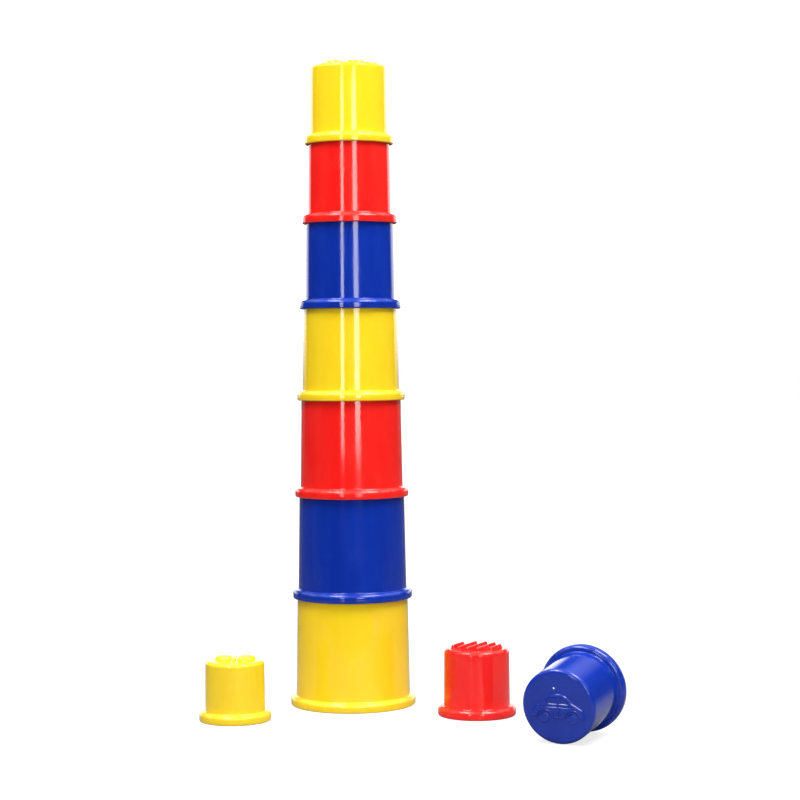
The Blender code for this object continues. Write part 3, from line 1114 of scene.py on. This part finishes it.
@dataclass
class CupSet:
    """All ten cups: the tower's seven, the two beside it and the one that lies on its side."""

    tower_count: int = 7
    hidden_end: MeshSteps = MeshSteps(256, 72)
    shown_end: MeshSteps = MeshSteps(384, 96)
    lying: int = 8
    lying_heading: float = math.radians(245.2)
    cups: list[StackingCup] = field(default_factory=list)

    def body_name(self, number: int) -> str:
        """The frame body that a cup rides on.

        Args:
            number: The cup's number.

        Returns:
            The body's name.
        """
        if number == 1:
            return "base_cup"
        if number <= self.tower_count:
            return f"tower_cup_{number}"
        return f"{'lying' if number == self.lying else 'loose'}_cup_{number}"

    def build(self) -> None:
        """Builds each cup, gives it its plastic, and puts it on its body in place of its CAD node."""
        for number, picture in enumerate(Picture, start=1):
            steps = self.hidden_end if number < self.tower_count else self.shown_end
            heading = self.lying_heading if number == self.lying else None
            cup = StackingCup.from_node(number, picture, steps, heading)
            made = cup.build()
            colour = Colour.of(number)
            made.data.materials.append(colour.finish.material(f"{colour.slot}_{number}", cup))
            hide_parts(f"cup_{number}")
            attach(made, self.body_name(number))
            self.cups.append(cup)
            log.info(
                "%s: %.1f mm high, rim %.1f mm across, %d faces",
                made.name, cup.sizes.height / MM, 2 * cup.sizes.rim_radius / MM, len(made.data.polygons),
            )


@dataclass
class Studio:
    """A pale table against a white backdrop, lit by two tall soft boxes in front and two panels overhead.

    The backdrop's side, foot and top, and the dome's foot, are where each fades in or out, as a part of the
    unit direction towards it: the side along +Y, the others up.
    """

    subject: Grid
    camera_offset: tuple[float, float] = (0.0377, -1.5396)
    camera_height: float = 0.2733
    lens: float = 89.98
    pitch: float = 0.0256
    roll: float = 0.0075
    floor_front: float = 0.40
    floor_reach: float = 4.0
    floor_glow: tuple[float, float] = (0.75, 1.0)
    # Painted fill: the table's colour near the cups and far from them, a pale pool of bounce light in front
    # of them that darkens away.
    floor_fill_pool: tuple[float, float] = (0.26, 0.12)
    floor_fade: tuple[float, float] = (0.25, 0.7)
    floor_forward: float = 0.22
    left_bearing: float = math.radians(19.5)
    right_bearing: float = math.radians(15.0)
    box_distance: float = 1.5
    box_bottom: float = 0.17
    box_top: float = 0.72
    left_width: float = 0.19
    right_width: float = 0.30
    box_radiance: float = 10.0
    overhead_spans: tuple[tuple[float, float], ...] = ((-0.62, -0.22), (0.28, 0.82))
    overhead_depth: float = 0.6
    overhead_height: float = 1.15
    overhead_forward: float = 0.36
    overhead_radiance: float = 14.0
    backdrop_side: tuple[float, float] = (0.64, 0.80)
    backdrop_foot: tuple[float, float] = (-0.02, 0.03)
    backdrop_top: tuple[float, float] = (0.18, 0.34)
    backdrop_radiance: float = 2.0
    dome_foot: tuple[float, float] = (0.42, 0.6)
    dome_radiance: float = 0.9
    room_radiance: float = 0.05

    def camera(self) -> None:
        """Puts the camera in front of the tower, level but for a small pitch and roll."""
        data = bpy.data.cameras.new("camera")
        data.lens = self.lens
        data.sensor_width = 36.0
        data.clip_start = 0.05
        data.clip_end = 50.0
        made = placed("camera", data)
        across, forward = self.camera_offset
        place = Vector((self.subject[0] + across, self.subject[1] + forward, self.camera_height))
        tip = Matrix.Rotation(math.pi / 2 - self.pitch, 4, "X") @ Matrix.Rotation(-self.roll, 4, "Z")
        made.matrix_world = Matrix.Translation(place) @ tip
        bpy.context.scene.camera = made

    def panel(self, name: str, size: tuple[float, float], radiance: float, place: Matrix) -> None:
        """One flat light panel, which the camera does not see.

        Args:
            name: The light's name.
            size: Its width and height.
            radiance: How bright its face is.
            place: Where it is; it shines along its own -Z.
        """
        data = bpy.data.lights.new(name, "AREA")
        data.shape = "RECTANGLE"
        data.size, data.size_y = size
        data.energy = radiance * math.pi * size[0] * size[1]
        made = placed(name, data)
        made.matrix_world = place
        made.visible_camera = False

    def soft_box(self, name: str, turn: float, width: float) -> None:
        """One upright soft box, turned to the tower.

        Args:
            name: The light's name.
            turn: How far round the tower it stands from the camera, to the right.
            width: The box's width.
        """
        bearing = math.atan2(self.camera_offset[1], self.camera_offset[0]) + turn
        out = Vector((math.cos(bearing), math.sin(bearing), 0.0))
        middle = Vector((self.subject[0], self.subject[1], (self.box_top + self.box_bottom) / 2))
        facing = out.to_track_quat("Z", "Y").to_matrix().to_4x4()
        place = Matrix.Translation(middle + self.box_distance * out) @ facing
        self.panel(name, (width, self.box_top - self.box_bottom), self.box_radiance, place)

    def overhead(self) -> None:
        """Two panels above the tower, left and right and a little in front of it, which shine down."""
        for number, (left, right) in enumerate(self.overhead_spans, start=1):
            across = self.subject[0] + (left + right) / 2
            middle = Vector((across, self.subject[1] - self.overhead_forward, self.overhead_height))
            size = (right - left, self.overhead_depth)
            self.panel(f"overhead_{number}", size, self.overhead_radiance, Matrix.Translation(middle))

    def floor(self) -> None:
        """A flat table top, whose front edge is just in front of the cups.

        Only the camera sees its glow. The cups see its colour, which is painted fill light: pale in a pool
        just in front of them, to throw light up onto them, and darker away from them.
        """
        reach, front, lines = self.floor_reach, self.subject[1] - self.floor_front, 9
        x = self.subject[0] + reach * np.linspace(-1.0, 1.0, lines)
        y = front + 2 * reach * np.linspace(0.0, 1.0, lines)
        points = np.stack([*np.meshgrid(x, y), np.zeros((lines, lines))], axis=-1).reshape(-1, 3)
        grid = np.arange(lines**2).reshape(lines, lines)
        quads = np.stack([grid[:-1, :-1], grid[:-1, 1:], grid[1:, 1:], grid[1:, :-1]], axis=-1).reshape(-1, 4)
        made = placed("floor", mesh_of("floor", points, quads, np.zeros((0, 3), int)))
        material = bpy.data.materials.new("table_top")
        material.use_nodes = True
        w = Wiring(material.node_tree)
        place = w.add("TexCoord").outputs["Object"]
        rough = w.ramp(w.noise(place, 20.0, 3.0), 0.3, 0.7, 0.5, 0.6)
        middle = (self.subject[0], self.subject[1] - self.floor_forward, 0.0)
        away = w.add("VectorMath", {0: place, 1: middle}, operation="DISTANCE").outputs["Value"]
        # Painted fill light: the table's colour is pale in a pool in front of the cups and darker away from
        # them.
        painted_fill = w.ramp(away, *self.floor_fade, *self.floor_fill_pool)
        glow = w.ramp(away, *self.floor_fade, *self.floor_glow)
        lit = w.math("MULTIPLY", w.add("LightPath").outputs["Is Camera Ray"], glow)
        wires = {"Base Color": painted_fill, "Roughness": rough, "Emission Color": (1.0, 1.0, 1.0, 1.0)}
        shader = w.add("BsdfPrincipled", wires | {"Emission Strength": lit, "Specular IOR Level": 0.1})
        w.add("OutputMaterial", {"Surface": shader.outputs[0]})
        made.data.materials.append(material)

    def surroundings(self) -> None:
        """A white backdrop behind the cups, a dimmer dome overhead, and a dark room behind the camera."""
        world = bpy.data.worlds.new("studio")
        world.use_nodes = True
        bpy.context.scene.world = world
        w = Wiring(world.node_tree)
        parts = w.add("SeparateXYZ", {0: w.add("TexCoord").outputs["Generated"]}).outputs
        behind = w.ramp(parts[1], *self.backdrop_side)
        over_floor = w.ramp(parts[2], *self.backdrop_foot, 0.07, 1.0)
        low = w.ramp(parts[2], *self.backdrop_top, self.backdrop_radiance, 0.0)
        backdrop = w.math("MULTIPLY", w.math("MULTIPLY", behind, over_floor), low)
        dome = w.ramp(parts[2], *self.dome_foot, 0.0, self.dome_radiance)
        room = w.math("ADD", w.math("MAXIMUM", backdrop, dome), self.room_radiance)
        strength = w.math("MAXIMUM", room, w.add("LightPath").outputs["Is Camera Ray"])
        shader = w.add("Background", {"Color": (1.0, 1.0, 1.0, 1.0), "Strength": strength})
        w.add("OutputWorld", {"Surface": shader.outputs[0]})

    def build(self) -> None:
        """Sets up the camera, the lights, the floor and the surroundings."""
        self.camera()
        self.soft_box("left_box", -self.left_bearing, self.left_width)
        self.soft_box("right_box", self.right_bearing, self.right_width)
        self.overhead()
        self.floor()
        self.surroundings()
        bpy.context.scene.view_settings.view_transform = "Standard"


def main() -> None:
    """Builds the cups and the studio."""
    logging.basicConfig(level=logging.INFO, format="%(name)s: %(message)s")
    cups = CupSet()
    cups.build()
    Studio(cups.cups[0].standing.mouth).build()


if __name__ == "__main__":
    main()
